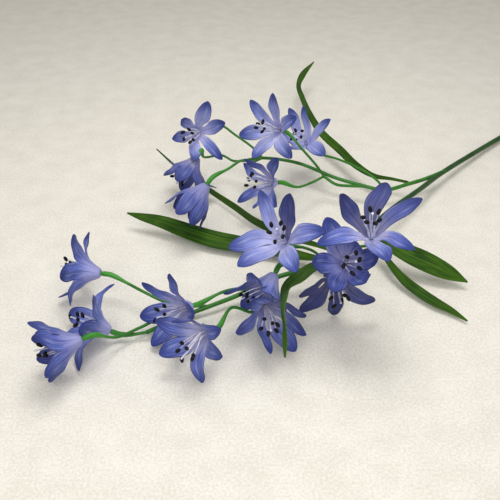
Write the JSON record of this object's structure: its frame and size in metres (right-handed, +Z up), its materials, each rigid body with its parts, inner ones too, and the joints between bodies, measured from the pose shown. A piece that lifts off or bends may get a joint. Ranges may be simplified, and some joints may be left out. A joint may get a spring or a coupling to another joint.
{
  "type": "artificial bellflower stem",
  "caption": "Cut artificial stem lying down: two forked branches of blue six-lobed funnel florets with dark anthers, and long strap leaves.",
  "frame": {"origin": "middle of the footprint, on the surface the stem lies on", "axes": "+Z up from that surface, +X the long way from the floret ends to the cut end's side, +Y away from a viewer who looks down at the florets"},
  "size_m": [0.4871, 0.4239, 0.098],
  "materials": {
    "stem": "smooth satin-gloss coating over a wire",
    "branch": "smooth satin-gloss coating over a thin wire",
    "leaf": "pressed satin cloth with fine lengthwise ribs",
    "petal": "dyed matte cloth, pale throat and deeper blue tips",
    "stamen": "matte white filaments with black anthers"
  },
  "bodies": {
    "root": {"main_stem": "stem", "upper_branch": "branch", "lower_branch": "branch", "leaf_upper_right": "leaf", "leaf_middle_back": "leaf", "leaf_middle_left": "leaf", "leaf_crown_front": "leaf", "leaf_right_long": "leaf", "leaf_right_low": "leaf", "petals_u1": "petal", "stamens_u1": "stamen", "petals_u2": "petal", "stamens_u2": "stamen", "petals_u3": "petal", "stamens_u3": "stamen", "petals_u4": "petal", "stamens_u4": "stamen", "petals_u5": "petal", "stamens_u5": "stamen", "petals_u6": "petal", "stamens_u6": "stamen", "petals_m1": "petal", "stamens_m1": "stamen", "petals_m2": "petal", "stamens_m2": "stamen", "petals_m3": "petal", "stamens_m3": "stamen", "petals_m4": "petal", "stamens_m4": "stamen", "petals_m5": "petal", "stamens_m5": "stamen", "petals_m6": "petal", "stamens_m6": "stamen", "petals_l1": "petal", "stamens_l1": "stamen", "petals_l2": "petal", "stamens_l2": "stamen", "petals_l3": "petal", "stamens_l3": "stamen", "petals_l4": "petal", "stamens_l4": "stamen", "petals_l5": "petal", "stamens_l5": "stamen"}
  },
  "joints": []
}
